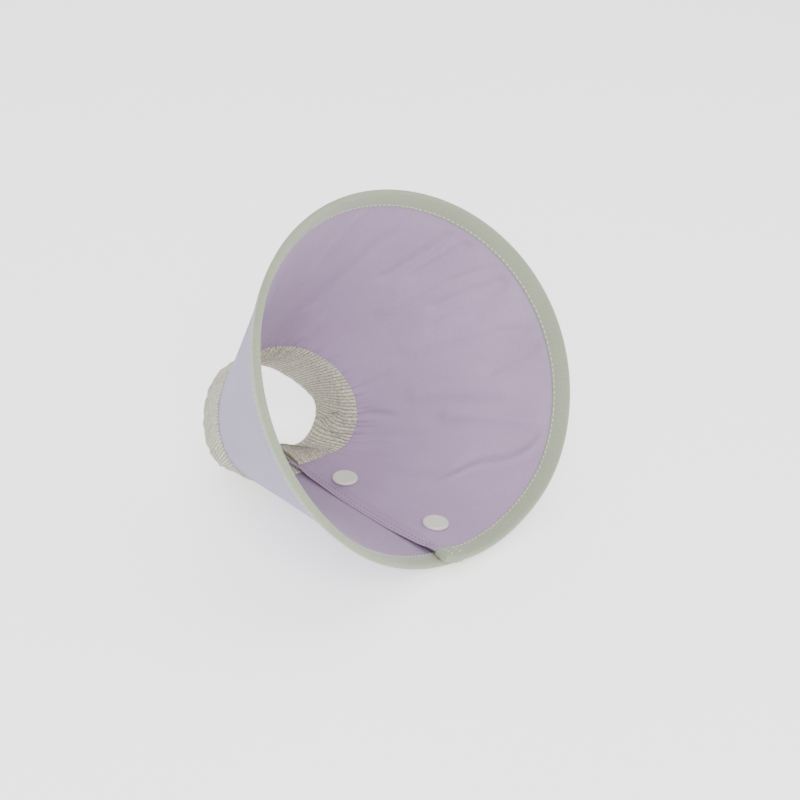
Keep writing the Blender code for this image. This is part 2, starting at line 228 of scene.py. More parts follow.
def path_distance(turn, run, path, scale):
    """Signed distance in metres across a path that runs from the cuff towards the rim, and a
    factor that fades to 0 past its ends. scale turns the path's runs into metres."""
    ordered = sorted(path, key=lambda point: point[1])
    runs = np.array([point[1] for point in ordered]) * scale
    turns = np.radians([point[0] for point in ordered])
    rate = turn_rate(turn, run)
    steps = np.linspace(-PATH_ROUNDING, PATH_ROUNDING, 5)
    centre = sum(np.interp(run + step, runs, turns) for step in steps) / len(steps)
    lean = (np.interp(run + PATH_ROUNDING, runs, turns)
            - np.interp(run - PATH_ROUNDING, runs, turns)) / (2 * PATH_ROUNDING)
    away = (turn - centre + math.pi) % FULL_TURN - math.pi
    begins = smooth(run, runs[0] - 0.003, runs[0] + 0.006)
    ends = 1 - smooth(run, runs[-1] - 0.008, runs[-1] + 0.004)
    return away * rate / np.sqrt(1 + (lean * rate) ** 2), begins * ends


def ridge(turn, run, path, scale, width, height):
    away, fade = path_distance(turn, run, path, scale)
    return height * MM * np.exp(-(away / (width * MM)) ** 2) * fade


def lining_relief(turn, run):
    total = 0
    for degrees, first, last, width, height in SOFT_FOLDS:
        height = FOLD_DEPTH * height
        drift = 3.0 * math.sin(degrees)
        path = ((degrees + drift, first), (degrees, (first + last) / 2), (degrees - drift, last))
        total = total + ridge(turn, run, path, WALL_LENGTH, width, height)
    for width, height, path in CREASES:
        total = total + ridge(turn, run, path, WALL_LENGTH, width, height)
    slow = 0.30 * np.sin(9 * turn + 60 * run + 1) + 0.22 * np.sin(17 * turn - 95 * run + 2)
    total = total + slow * MM * smooth(run, 0.0, 0.03)
    clear = 1 - smooth(run, WALL_LENGTH - 0.018, WALL_LENGTH - BINDING_WIDTH - 0.001)
    under_flap = 1 - smooth(turn, FULL_TURN - 0.25, FULL_TURN - 0.05)
    flap = 0.35 + 0.65 * smooth(turn, 0.45, 0.9)
    return total * clear * under_flap * flap + pucker(turn, run) * under_flap * flap


EDGE_FLAT_WIDTH = 0.008
EDGE_THICKNESS = 0.0007
PRESS_WIDTH = 0.014
PRESS = 0.0004
PRESS_BETWEEN_BANDS = 0.0007
UNDER_RISE = 0.0004
SEAT_SWELL = 0.0006
SEAT_RADII = (0.004, 0.0095)


def flap_press(turn, run):
    """The flap's free edge lies down on the layer below, closer than its stiff part."""
    away = (turn - flap_edge(run)) * turn_rate(turn, run)
    at_edge = 1 - smooth(away, 0.0, PRESS_WIDTH)
    between = smooth(run, 0.001, 0.012) * (1 - smooth(run, 0.098, 0.112))
    return -(PRESS + PRESS_BETWEEN_BANDS * between) * at_edge


def edge_thinning(turn, run):
    """Beyond the stiffener the two cloths lie together, so the lining steps down."""
    away = (turn - flap_edge(run)) * turn_rate(turn, run)
    thin = (WALL - EDGE_THICKNESS) * (1 - smooth(away, EDGE_FLAT_WIDTH - 0.003, EDGE_FLAT_WIDTH))
    return -thin * smooth(run, 0.001, 0.008) * (1 - smooth(run, 0.104, 0.114))


def under_rise(turn, run):
    """Under the flap, the rim of the layer below comes up a little."""
    return UNDER_RISE * smooth(turn, FULL_TURN - 0.1, FULL_TURN + 0.1) * smooth(run, 0.106, 0.118)


def snap_seat(turn, run):
    """The lining swells a little to meet the inner caps."""
    total = 0
    for snap_turn, snap_run in SNAPS.values():
        across = (turn - snap_turn) * turn_rate(turn, run)
        away = np.sqrt(across ** 2 + (run - snap_run) ** 2)
        total = total + SEAT_SWELL * (1 - smooth(away, *SEAT_RADII))
    return total


def outer_relief(turn, run):
    slow = 0.22 * np.sin(7 * turn + 40 * run) + 0.16 * np.sin(13 * turn - 70 * run + 1)
    clear = smooth(run, 0.0, 0.02) * (1 - smooth(run, WALL_LENGTH - 0.018, WALL_LENGTH - 0.011))
    flap = smooth(turn, 0.6, 1.2)
    waves = (-slow * MM * clear - 0.7 * pucker(turn, run)) * flap
    return waves + flap_press(turn, run) + under_rise(turn, run)


# ---- making pieces ----------------------------------------------------------------------

def add_object(name, data, material):
    item = bpy.data.objects.new(name, data)
    bpy.context.scene.collection.objects.link(item)
    data.materials.append(material)
    return item


def finish_mesh(name, points, faces, material, coordinates=None, shade=None):
    mesh = bpy.data.meshes.new(name)
    mesh.from_pydata(points.reshape(-1, 3).tolist(), [], faces)
    mesh.polygons.foreach_set("use_smooth", np.ones(len(mesh.polygons), bool))
    if coordinates is not None:
        values = np.zeros((len(mesh.vertices), 3), np.float32)
        values[:, :2] = coordinates.reshape(-1, 2)
        mesh.attributes.new("cloth", "FLOAT_VECTOR", "POINT").data.foreach_set("vector", values.ravel())
    # shade is stored as the groove attribute, from which the knit material paints shade into the rib
    # grooves
    if shade is not None:
        mesh.attributes.new("groove", "FLOAT", "POINT").data.foreach_set(
            "value", shade.astype(np.float32).ravel())
    mesh.update()
    mesh.set_sharp_from_angle(angle=math.radians(50))
    return add_object(name, mesh, material)


def arc_along(turn, run):
    """Distance round the strip at its run, for the weave and the ribs."""
    steps = np.linalg.norm(np.diff(straight_point(turn, run), axis=0), axis=-1)
    return np.concatenate([np.zeros((1,) + steps.shape[1:]), np.cumsum(steps, axis=0)])


def sweep(name, turns, run, depth, material, shade=None):
    """A closed strip. turns, run and depth are grids: one row for each place round the cone,
    holding the section's two faces one after the other, the second one backwards."""
    points = wall_point(turns, run, depth)
    count, around = points.shape[:2]
    index = np.arange(count * around).reshape(count, around)
    ahead = np.roll(index, -1, axis=1)
    sides = np.stack([index[:-1], ahead[:-1], ahead[1:], index[1:]], axis=-1).reshape(-1, 4)
    half = around // 2
    caps = []
    for row, flip in ((index[0], True), (index[-1], False)):
        for step in range(half - 1):
            cap = [row[step], row[step + 1], row[around - 2 - step], row[around - 1 - step]]
            caps.append(cap[::-1] if flip else cap)
    faces = sides.tolist() + [[int(corner) for corner in cap] for cap in caps]
    reference = np.zeros_like(run)
    coordinates = np.stack([arc_along(turns, reference), run], axis=-1)
    item = finish_mesh(name, points, faces, material, coordinates, shade)
    item.data.validate()
    return item


def shares_round(columns):
    return (np.arange(columns + 1) / columns)[:, None]


def from_flap_end(turn, run):
    return (turn - flap_edge(run)) * turn_rate(turn, run)


EDGE_ROUNDING = 0.0013
CORNER_CUT = 0.0030
CORNER_LENGTH = 0.0050
UNDER_DRAW = 0.0065
TAIL_DRAW = 0.0030


def rim_run(turn):
    """Where the wall ends at the mouth. The flap's corner is cut off slantwise, and the layer
    below is drawn back behind the flap."""
    rim = np.full_like(turn, WALL_LENGTH)
    away = from_flap_end(turn, rim)
    corner = CORNER_CUT * (1 - np.clip(away / CORNER_LENGTH, 0, 1))
    drawn = UNDER_DRAW * smooth(turn, FULL_TURN - 0.75, FULL_TURN - 0.05)
    tail = TAIL_DRAW * smooth(turn, FULL_TURN + 0.1, FULL_TURN + TAIL_TURN)
    return rim - corner - drawn - tail


def sheet_piece(name, span, columns, rows, depths, relief, material):
    """One cloth of the wall, closed along its edges, rounded at the flap's free edge."""
    levels = np.linspace(-TUCK, WALL_LENGTH, rows + 1)
    low, high = depths
    run = np.concatenate([levels, levels[::-1]])[None, :]
    first, last = span(run)
    turns = first + (last - first) * shares_round(columns)
    run = np.broadcast_to(run, turns.shape).copy()
    run = np.where(run > 0, run * rim_run(turns) / WALL_LENGTH, run)
    face = np.concatenate([np.full(rows + 1, low), np.full(rows + 1, high)])[None, :]
    depth = face + relief(turns, run)
    if span is flap_span:
        away = from_flap_end(turns, run)
        closing = np.sqrt(1 - (1 - np.clip(away / EDGE_ROUNDING, 0, 1)) ** 2)
        middle = WALL / 2 + flap_press(turns, run) + edge_thinning(turns, run) / 2
        depth = middle + (depth - middle) * closing
    return sweep(name, turns, run, depth, material)


# ---- materials --------------------------------------------------------------------------

class Nodes:
    """A material's node tree, with short calls for the nodes used here."""

    def __init__(self, name, roughness, sheen=0.0):
        self.material = bpy.data.materials.new(name)
        self.material.use_nodes = True
        self.tree = self.material.node_tree
        self.shader = self.tree.nodes["Principled BSDF"]
        self.shader.inputs["Roughness"].default_value = roughness
        self.shader.inputs["Sheen Weight"].default_value = sheen
        self.shader.inputs["Sheen Roughness"].default_value = 0.5

    def node(self, kind, **settings):
        made = self.tree.nodes.new(kind)
        for key, value in settings.items():
            setattr(made, key, value)
        return made

    def link(self, source, target):
        self.tree.links.new(source, target)

    def math(self, operation, first, second=None):
        made = self.node("ShaderNodeMath", operation=operation)
        for socket, value in zip(made.inputs, (first, second)):
            if value is None:
                continue
            if isinstance(value, (int, float)):
                socket.default_value = value
            else:
                self.link(value, socket)
        return made.outputs[0]

    def cloth(self):
        """(distance round, run) stored on the mesh."""
        found = self.node("ShaderNodeAttribute", attribute_name="cloth")
        apart = self.node("ShaderNodeSeparateXYZ")
        self.link(found.outputs["Vector"], apart.inputs[0])
        return apart.outputs[0], apart.outputs[1]

    def noise(self, scale, detail=3.0, vector=None):
        made = self.node("ShaderNodeTexNoise")
        made.inputs["Scale"].default_value = scale
        made.inputs["Detail"].default_value = detail
        if vector is None:
            vector = self.node("ShaderNodeTexCoord").outputs["Object"]
        self.link(vector, made.inputs["Vector"])
        return made.outputs["Fac"]

    def ramp(self, fac, stops):
        made = self.node("ShaderNodeValToRGB")
        elements = made.color_ramp.elements
        while len(elements) < len(stops):
            elements.new(0.5)
        for element, (place, colour) in zip(elements, stops):
            element.position = place
            element.color = (*colour, 1)
        self.link(fac, made.inputs[0])
        return made.outputs[0]

    def mix(self, fac, first, second, blend="MIX"):
        made = self.node("ShaderNodeMix", data_type="RGBA", blend_type=blend)
        for socket, value in ((made.inputs[0], fac), (made.inputs[6], first), (made.inputs[7], second)):
            if isinstance(value, (int, float)):
                socket.default_value = value
            elif isinstance(value, tuple):
                socket.default_value = (*value, 1)
            else:
                self.link(value, socket)
        return made.outputs[2]

    def bump(self, height, distance, strength=1.0, before=None):
        made = self.node("ShaderNodeBump")
        made.inputs["Distance"].default_value = distance
        made.inputs["Strength"].default_value = strength
        self.link(height, made.inputs["Height"])
        if before is not None:
            self.link(before, made.inputs["Normal"])
        return made.outputs[0]

    def done(self, colour, normal):
        self.link(colour, self.shader.inputs["Base Color"])
        if normal is not None:
            self.link(normal, self.shader.inputs["Normal"])
        return self.material


def shade_of(colour, factor):
    return tuple(part * factor for part in colour)


def woven(name, colour, pitch, roughness, sheen, slant=0.0):
    """Plain or twill weave: warp and weft threads as a fine over-and-under pattern."""
    nodes = Nodes(name, roughness, sheen)
    along, run = nodes.cloth()
    slanted = nodes.math("ADD", along, nodes.math("MULTIPLY", run, slant))
    warp = nodes.math("SINE", nodes.math("MULTIPLY", slanted, FULL_TURN / pitch))
    weft = nodes.math("SINE", nodes.math("MULTIPLY", run, FULL_TURN / pitch))
    thread = nodes.math("MULTIPLY", warp, weft)
    cloudy = nodes.noise(26.0, 4.0)
    fibres = nodes.noise(1600.0, 2.0)
    base = nodes.ramp(cloudy, ((0.30, shade_of(colour, 0.95)), (0.70, shade_of(colour, 1.05))))
    speck = nodes.ramp(fibres, ((0.35, (0.93,) * 3), (0.65, (1.05,) * 3)))
    tone = nodes.mix(1.0, base, speck, "MULTIPLY")
    weave_tone = nodes.ramp(nodes.math("ADD", nodes.math("MULTIPLY", thread, 0.5), 0.5),
                            ((0.0, (0.95,) * 3), (1.0, (1.03,) * 3)))
    tone = nodes.mix(1.0, tone, weave_tone, "MULTIPLY")
    normal = nodes.bump(thread, 0.00006, 0.7)
    normal = nodes.bump(nodes.noise(420.0, 3.0), 0.00022, 0.35, normal)
    return nodes.done(tone, normal)


def knitted(name, colour, rib_pitch):
    """Heathered rib knit with painted shade in the grooves and a painted highlight on the rib crowns, and
    small slanted stitches on each rib.
    """
    nodes = Nodes(name, 0.95, 0.25)
    along, run = nodes.cloth()
    groove = nodes.node("ShaderNodeAttribute", attribute_name="groove").outputs["Fac"]
    place = nodes.math("FRACT", nodes.math("DIVIDE", along, rib_pitch))
    off_centre = nodes.math("ABSOLUTE", nodes.math("SUBTRACT", place, 0.5))
    slope = nodes.math("ADD", nodes.math("DIVIDE", run, 0.0013), nodes.math("MULTIPLY", off_centre, 1.6))
    stitch = nodes.math("SINE", nodes.math("MULTIPLY", slope, FULL_TURN))
    heather = nodes.ramp(nodes.noise(900.0, 3.0), ((0.33, shade_of(colour, 0.62)), (0.50, colour),
                                                  (0.66, shade_of(colour, 1.30))))
    worn = nodes.ramp(nodes.noise(70.0, 3.0), ((0.3, (0.93,) * 3), (0.7, (1.05,) * 3)))
    tone = nodes.mix(1.0, heather, worn, "MULTIPLY")
    # painted shade: the groove value darkens the rib grooves and lightens the rib crowns a little
    groove_painted_shade = nodes.ramp(groove, ((0.0, (1.08,) * 3), (1.0, (0.42, 0.41, 0.37))))
    tone = nodes.mix(1.0, tone, groove_painted_shade, "MULTIPLY")
    stitch_tone = nodes.ramp(nodes.math("ADD", nodes.math("MULTIPLY", stitch, 0.5), 0.5),
                             ((0.0, (0.86,) * 3), (0.6, (1.04,) * 3)))
    tone = nodes.mix(1.0, tone, stitch_tone, "MULTIPLY")
    normal = nodes.bump(stitch, 0.00022, 0.8)
    normal = nodes.bump(nodes.noise(2400.0, 2.0), 0.00015, 0.5, normal)
    return nodes.done(tone, normal)


def twisted_thread(name, colour):
    nodes = Nodes(name, 0.6, 0.2)
    ply = nodes.noise(3000.0, 2.0)
    tone = nodes.ramp(ply, ((0.3, shade_of(colour, 0.82)), (0.7, shade_of(colour, 1.08))))
    return nodes.done(tone, nodes.bump(ply, 0.00008, 0.6))


def moulded(name, colour):
    nodes = Nodes(name, 0.36)
    nodes.shader.inputs["Specular IOR Level"].default_value = 0.45
    cloudy = nodes.noise(180.0, 3.0)
    tone = nodes.ramp(cloudy, ((0.3, shade_of(colour, 0.95)), (0.7, shade_of(colour, 1.03))))
    return nodes.done(tone, nodes.bump(nodes.noise(900.0, 2.0), 0.00003, 0.4))


OUTER_COLOUR = (0.252, 0.206, 0.345)
LINING_COLOUR = (0.305, 0.216, 0.340)
BINDING_COLOUR = (0.255, 0.285, 0.200)
KNIT_COLOUR = (0.560, 0.535, 0.425)
PALE_THREAD_COLOUR = (0.60, 0.62, 0.50)
PINK_THREAD_COLOUR = (0.270, 0.115, 0.200)
SNAP_COLOUR = (0.56, 0.55, 0.48)
RIB_PITCH = 0.0022
WEAVE_PITCH = 0.0008
TAPE_WEAVE_PITCH = 0.0011

outer_cloth = woven("outer_nylon", OUTER_COLOUR, WEAVE_PITCH, 0.62, 0.15)
lining_cloth = woven("lining_weave", LINING_COLOUR, WEAVE_PITCH, 0.58, 0.12)
binding_cloth = woven("bias_tape", BINDING_COLOUR, TAPE_WEAVE_PITCH, 0.85, 0.30, 1.0)
knit_cloth = knitted("rib_knit", KNIT_COLOUR, RIB_PITCH)
pale_thread = twisted_thread("pale_thread", PALE_THREAD_COLOUR)
pink_thread = twisted_thread("pink_thread", PINK_THREAD_COLOUR)
snap_plastic = moulded("snap_plastic", SNAP_COLOUR)


# ---- the wall ---------------------------------------------------------------------------

def lining_depth(turn, run):
    settled = flap_press(turn, run) + under_rise(turn, run) + edge_thinning(turn, run)
    return lining_relief(turn, run) + snap_seat(turn, run) + settled


OUTER_DEPTHS = (0.0, FABRIC)
LINING_DEPTHS = (WALL - FABRIC, WALL)
outer_main = sheet_piece("outer_fabric_wall", main_span, 420, 70, OUTER_DEPTHS, outer_relief, outer_cloth)
outer_flap = sheet_piece("outer_fabric_flap", flap_span, 90, 70, OUTER_DEPTHS, outer_relief, outer_cloth)
lining_main = sheet_piece("lining_wall", main_span, 620, 150, LINING_DEPTHS, lining_depth, lining_cloth)
lining_flap = sheet_piece("lining_flap", flap_span, 110, 150, LINING_DEPTHS, lining_depth, lining_cloth)

# ---- binding ----------------------------------------------------------------------------
SKIN_GAP = 0.0002  # between the wall's cloth and what is folded over it
TAPE = 0.0007
END_FOLD_THICKNESS = 0.0005
BINDING_FOLD = 0.0013
STITCH_INSET = 0.0012
END_FOLD_LENGTH = 0.011
END_FOLD_EXTRA = 0.0015
END_OVERHANG = 0.0014
SCALLOP = 0.00022
RIM_STITCH_PITCH = 0.0034


def binding_section(turns, arc):
    """Two grids, (run, depth): the tape's visible face and its hidden face."""
    middle, half = WALL / 2, WALL / 2 + SKIN_GAP
    rim = rim_run(turns)
    inner_rim = WALL_LENGTH - (WALL_LENGTH - rim) * (turns > math.pi)
    at_end = smooth(from_flap_end(turns, inner_rim), -0.0003, 0.0)
    round_end = 0.45 + 0.55 * np.sqrt(np.clip(1 + from_flap_end(turns, inner_rim) / END_OVERHANG, 0, 1))
    settle = flap_press(turns, inner_rim) + under_rise(turns, inner_rim)
    end = 1 - smooth(from_flap_end(turns, np.full_like(turns, WALL_LENGTH)), END_FOLD_LENGTH - 0.0008,
                     END_FOLD_LENGTH + 0.0008)
    tape = TAPE + END_FOLD_THICKNESS * end
    pull = SCALLOP * np.cos(FULL_TURN * arc / RIM_STITCH_PITCH)
    inner = inner_rim - BINDING_WIDTH - END_FOLD_EXTRA * end + pull
    stitched = inner_rim - BINDING_WIDTH + STITCH_INSET
    visible, hidden = [], []
    for side in (-1, 1):
        leg = []
        level = middle + side * half
        leg.append((inner, level + side * tape * 0.35, level))
        leg.append((inner + 0.0004, level + side * tape * 0.9, level))
        leg.append((stitched + 0 * inner, level + side * tape * 0.80, level))
        for share in (0.25, 0.45, 0.65, 0.85):
            crown = 1.0 + 0.35 * math.sin(math.pi * share)
            leg.append((stitched + (rim - stitched) * share, level + side * tape * crown, level))
        leg.append((rim, level + side * tape, level))
        if side == 1:
            leg = leg[::-1]
        visible += [(run, depth) for run, depth, _ in leg]
        hidden += [(np.minimum(run, rim + 0.0001), middle + (flat - middle) * at_end)
                   for run, _, flat in leg]
        if side == -1:
            for angle in (-60, -30, 0, 30, 60):
                bend = math.radians(angle)
                visible.append((rim + SKIN_GAP + BINDING_FOLD * math.cos(bend),
                                middle + (half + tape) * math.sin(bend)))
                hidden.append((rim + SKIN_GAP, middle + half * math.sin(bend) * at_end))
    visible = [(run, middle + (depth - middle) * round_end + settle) for run, depth in visible]
    hidden = [(run, depth + settle) for run, depth in hidden]
    return visible, hidden


def tab_span(run):
    """The binding goes a little past the flap's edge and is closed there."""
    first, last = flap_span(run)
    return first - END_OVERHANG / turn_rate(first, run), last


def strip_piece(name, span, columns, section, line_run, material, shade_from=None):
    """A strip swept round an edge; section gives its visible and hidden faces, and shade_from a value along
    it that the material turns into painted shade in the rib grooves."""
    level = np.full((1, 1), line_run)
    first, last = span(level)
    turns = first + (last - first) * shares_round(columns)
    start = flap_edge(level)
    base = np.linspace(0, 1, 4001)[:, None] * (FULL_TURN + TAIL_TURN - start) + start
    lengths = arc_along(base, np.full_like(base, line_run))
    arc = np.interp(turns[:, 0], base[:, 0], lengths[:, 0])[:, None]
    visible, hidden = section(turns, arc)
    run = np.concatenate([part[0] + 0 * turns for part in visible]
                         + [part[0] + 0 * turns for part in hidden[::-1]], axis=1)
    depth = np.concatenate([part[1] + 0 * turns for part in visible]
                           + [part[1] + 0 * turns for part in hidden[::-1]], axis=1)
    shade = None
    if shade_from is not None:
        shade = np.broadcast_to(shade_from(arc), run.shape)
    # where the strip ends at the flap's edge or at the split, it follows that line
    first_all, last_all = span(run)
    grid = first_all + (last_all - first_all) * shares_round(columns)
    return sweep(name, grid, run, depth, material, shade)


binding_main = strip_piece("rim_binding_wall", main_span, 1300, binding_section, WALL_LENGTH, binding_cloth)
binding_flap = strip_piece("rim_binding_flap", tab_span, 220, binding_section, WALL_LENGTH, binding_cloth)


# ---- knit cuff --------------------------------------------------------------------------
RIB_HEIGHT = 0.00042
RIB_SHARPNESS = 1.1
CUFF_PUFF = 0.0011
CUFF_START = 0.0006
CUFF_BEND = 0.0026
CUFF_INNER_BEND = 0.0014
CUFF_STEPS = 20


def rib(arc):
    """0 on a rib's crown, 1 in the groove beside it."""
    return 1 - np.abs(np.sin(math.pi * arc / RIB_PITCH)) ** RIB_SHARPNESS


def cuff_relief(turns, run):
    total = 0
    for width, height, path in CUFF_CREASES:
        total = total + ridge(turns, run, path, MM, width, height)
    waves = 0.45 * np.sin(23 * turns + 90 * run) + 0.35 * np.sin(37 * turns + 2 - 60 * run)
    total = total + waves * MM * smooth(-run, 0.002, 0.012)
    on_top = smooth(turns, 0.7, 1.0) * (1 - smooth(turns, FULL_TURN - 0.5, FULL_TURN - 0.2))
    return total * on_top


def cuff_roll(turns, run):
    width, height, path = CUFF_ROLL
    on_flap = 1 - smooth(turns, math.pi, math.pi + 0.1)
    return ridge(turns, run, path, MM, width, height) * smooth(-run, 0.0, 0.008) * on_flap


def cuff_section(turns, arc):
    low, high = -SKIN_GAP, WALL + SKIN_GAP
    bend_run = CUFF_BEND - CUFF_LENGTH
    groove = rib(arc)
    visible, hidden = [], []

    def leg(side):
        level = low if side < 0 else high
        rows = []
        for step in range(CUFF_STEPS + 1):
            share = step / CUFF_STEPS
            run = CUFF_START + (bend_run - CUFF_START) * share
            rounded = math.sqrt(1 - (1 - min(share / 0.06, 1)) ** 2)
            puff = CUFF_PUFF * math.sin(math.pi * min(share * 1.15, 1)) ** 0.8
            swell = puff * (0.6 if side > 0 else 0.2)
            depth = level + side * (KNIT * 0.9 * rounded + swell - RIB_HEIGHT * groove * rounded)
            here = np.full_like(turns, run)
            moved = (1.0 if side > 0 else 0.5) * cuff_relief(turns, here)
            if side > 0:
                moved = moved + cuff_roll(turns, here)
            rows.append((here, depth + moved + pucker(turns, here) * (1 if side > 0 else -0.5),
                         level + 0.6 * moved + 0 * turns))
        return rows

    outer_leg, inner_leg = leg(-1), leg(1)
    for run, depth, flat in outer_leg:
        visible.append((run, depth))
        hidden.append((run, flat))
    start_depth, end_depth = outer_leg[-1][1], inner_leg[-1][1]
    start_flat, end_flat = outer_leg[-1][2], inner_leg[-1][2]
    last_run = outer_leg[-1][0]
    for angle in (-70, -45, -20, 0, 20, 45, 70):
        bend = math.radians(angle)
        share = (math.sin(bend) + 1) / 2
        reach = (CUFF_BEND - RIB_HEIGHT * groove) * math.cos(bend)
        visible.append((last_run - reach, start_depth + (end_depth - start_depth) * share))
        hidden.append((last_run - CUFF_INNER_BEND * math.cos(bend) + 0 * turns,
                       start_flat + (end_flat - start_flat) * share))
    for run, depth, flat in inner_leg[::-1]:
        visible.append((run, depth))
        hidden.append((run, flat))
    return visible, hidden


CUFF_END_SLANT = 0.20


def cuff_flap_span(run):
    """The cuff's end on the flap slants away from the flap's edge."""
    first, last = flap_span(run)
    return first + CUFF_END_SLANT * np.clip(-run / CUFF_LENGTH, 0, 1), last


# rib also gives the groove value for the knit's painted shade in the grooves
cuff_main = strip_piece("neck_cuff_wall", main_span, 1000, cuff_section, 0.0, knit_cloth, rib)
cuff_flap = strip_piece("neck_cuff_flap", cuff_flap_span, 110, cuff_section, 0.0, knit_cloth, rib)


# ---- stitches ---------------------------------------------------------------------------
THREAD_RADIUS = 0.00027
THREAD_SIDES = 6
STITCH_SIZES = (0.35, 0.85, 1.0, 0.85, 0.35)
STITCH_SHARES = np.array((-0.5, -0.25, 0.0, 0.25, 0.5))
RIM_STITCH_LENGTH = 0.0024
EDGE_STITCH_LENGTH = 0.0021
EDGE_STITCH_PITCH = 0.0028
EDGE_STITCH_INSETS = (0.0016, 0.0042)
TAB_STITCH_LENGTH = 0.0018
TAB_STITCH_PITCH = 0.0027
END_MARGIN = 0.006  # in turn, kept clear of stitches at both ends of a strip


def stitches(name, centres, material):
    """Short stitches, as thin rods that taper at both ends. centres is a list of (points along
    the stitch, outward direction)."""
    points, faces = [], []
    sides = THREAD_SIDES
    for line, out in centres:
        line = np.array(line)
        along = line[-1] - line[0]
        along /= np.linalg.norm(along)
        across = np.cross(along, out)
        across /= np.linalg.norm(across)
        ups = np.cross(across, along)
        base = len(points)
        for spot, size in zip(line, STITCH_SIZES):
            for step in range(sides):
                bend = FULL_TURN * step / sides
                away = across * math.cos(bend) + ups * math.sin(bend)
                points.append(spot + THREAD_RADIUS * size * away)
        for ring in range(len(STITCH_SIZES) - 1):
            for step in range(sides):
                after = (step + 1) % sides
                low = base + ring * sides
                faces.append((low + step, low + after, low + sides + after, low + sides + step))
        faces.append(tuple(base + step for step in range(sides))[::-1])
        faces.append(tuple(base + (len(STITCH_SIZES) - 1) * sides + step for step in range(sides)))
    return finish_mesh(name, np.array(points), faces, material)


DIPS = (-0.00022, 0.00010, 0.00016, 0.00010, -0.00022)  # both ends go into the cloth


def stitch_at(turns, runs, depths, side):
    """One stitch through five places; side is 1 on the inner face and -1 on the outer one."""
    depths = np.asarray(depths, float) + side * np.array(DIPS)
    line = wall_point(np.asarray(turns, float), np.asarray(runs, float), depths)
    out = side * inward(np.array([turns[2]]), np.array([runs[2]]))[0]
    return line, out


def rim_stitches(span, side):
    run = WALL_LENGTH - BINDING_WIDTH + STITCH_INSET
    level = np.full((1, 1), run)
    first, last = (float(part[0, 0]) for part in span(level))
    start = float(flap_edge(run))
    base = np.linspace(start, FULL_TURN + TAIL_TURN, 4001)
    length = arc_along(base[:, None], np.full((4001, 1), WALL_LENGTH))[:, 0]
    made = []
    for number in range(int(length[-1] / RIM_STITCH_PITCH)):
        middle = (number + 0.5) * RIM_STITCH_PITCH
        arcs = middle + STITCH_SHARES * RIM_STITCH_LENGTH
        turns = np.interp(arcs, length, base)
        if not first + END_MARGIN < turns[2] < last - END_MARGIN:
            continue
        depth = WALL + SKIN_GAP + TAPE * 0.80 if side > 0 else -SKIN_GAP - TAPE * 0.80
        drawn = (WALL_LENGTH - rim_run(turns)) * (turns > math.pi)
        depths = depth + flap_press(turns, run - drawn) + under_rise(turns, run - drawn)
        made.append(stitch_at(turns, run - drawn, depths, side))
    return made


def edge_stitches(inset):
    made = []
    run = 0.004
    while run < WALL_LENGTH - BINDING_WIDTH - 0.004:
        runs = run + STITCH_SHARES * EDGE_STITCH_LENGTH
        turns = flap_edge(runs) + inset / turn_rate(flap_edge(runs), runs)
        made.append(stitch_at(turns, runs, WALL + lining_depth(turns, runs), 1))
        run += EDGE_STITCH_PITCH
    return made


def end_tab_stitches():
    """The turned-back end of the binding is sewn down across its width."""
    made = []
    for away in (0.0025, END_FOLD_LENGTH - 0.0015):
        for step in range(3):
            start = WALL_LENGTH - BINDING_WIDTH + 0.0006 + TAB_STITCH_PITCH * step
            runs = start + np.linspace(0, TAB_STITCH_LENGTH, 5)
            turns = flap_edge(runs) + away / turn_rate(flap_edge(runs), runs)
            over_tape = (TAPE + END_FOLD_THICKNESS) * (1.10 + 0.12 * step)
            depths = WALL + SKIN_GAP + over_tape + flap_press(turns, runs)
            made.append(stitch_at(turns, runs, depths, 1))
    return made


rim_threads_main = stitches("rim_stitches_wall", rim_stitches(main_span, 1) + rim_stitches(main_span, -1),
                            pale_thread)
rim_threads_flap = stitches("rim_stitches_flap", rim_stitches(flap_span, 1) + rim_stitches(flap_span, -1),
                            pale_thread)
tab_threads = stitches("binding_end_stitches", end_tab_stitches(), pale_thread)
edge_threads = [stitches(f"flap_edge_stitches_{number}", edge_stitches(inset), pink_thread)
                for number, inset in enumerate(EDGE_STITCH_INSETS, start=1)]


# ---- snap fasteners ---------------------------------------------------------------------
SNAP_GAP = 0.0002
STUD_GAP = 0.0006
SNAP_PLATE = 0.0007
CAP_SEAT = 0.0006
PRONG = 0.0010
PRONG_HOLE = 0.0013
RIVET = 0.0016
LATHE_STEPS = 64

# Cap outlines: (radius, height) in mm, from the middle of the face to the seat
INNER_CAP = ((0.0, 1.42), (3.0, 1.44), (5.0, 1.46), (5.7, 1.56), (6.3, 1.60), (6.9, 1.46), (7.3, 1.12),
             (7.5, 0.66), (7.45, 0.22), (7.2, 0.0), (5.0, 0.05), (1.0, 0.05))
OUTER_CAP = ((0.0, 0.80), (3.0, 0.80), (5.2, 0.76), (6.4, 0.64), (7.1, 0.46), (7.5, 0.24), (7.35, 0.02),
             (5.0, 0.0), (1.0, 0.0))


